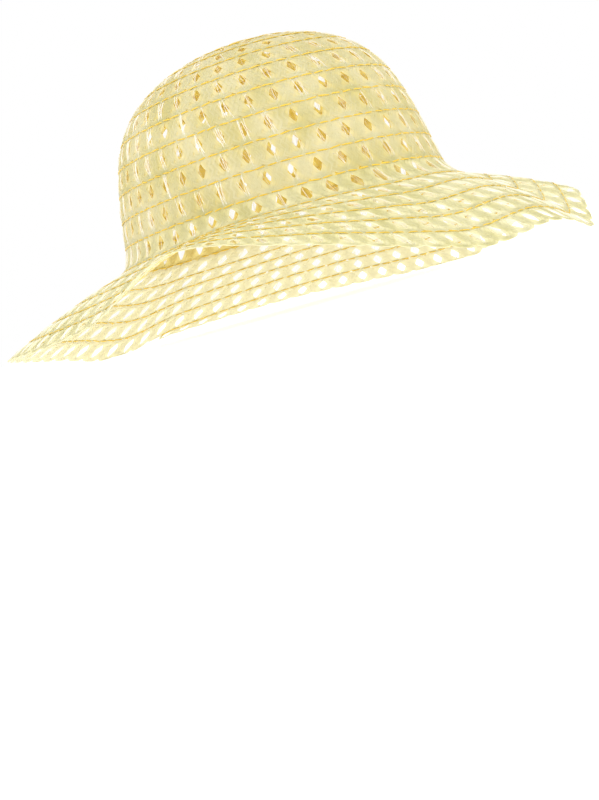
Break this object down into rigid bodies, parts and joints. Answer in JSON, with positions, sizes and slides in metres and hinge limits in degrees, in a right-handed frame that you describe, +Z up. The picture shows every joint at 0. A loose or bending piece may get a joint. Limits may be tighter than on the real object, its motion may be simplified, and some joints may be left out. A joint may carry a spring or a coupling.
{
  "type": "woven straw bonnet",
  "caption": "Sun hat with a round crown and a drooping wavy brim, sewn from a pierced straw braid wound in a spiral.",
  "frame": {"origin": "on the surface that the hat stands on, under the middle of its brim", "axes": "+Z up, the front of the hat faces -Y, +X to the right as seen from the front"},
  "size_m": [0.3078, 0.3314, 0.1451],
  "materials": {
    "tip_straw": "matt woven straw",
    "crown_straw": "matt woven straw",
    "brim_straw": "matt woven straw",
    "edge_straw": "matt woven straw, open work"
  },
  "bodies": {
    "root": {"crown_tip": "tip_straw", "crown_shoulder": "crown_straw", "crown_side": "crown_straw", "brim": "brim_straw", "brim_outer_row": "edge_straw", "brim_edge_row": "edge_straw"}
  },
  "joints": []
}
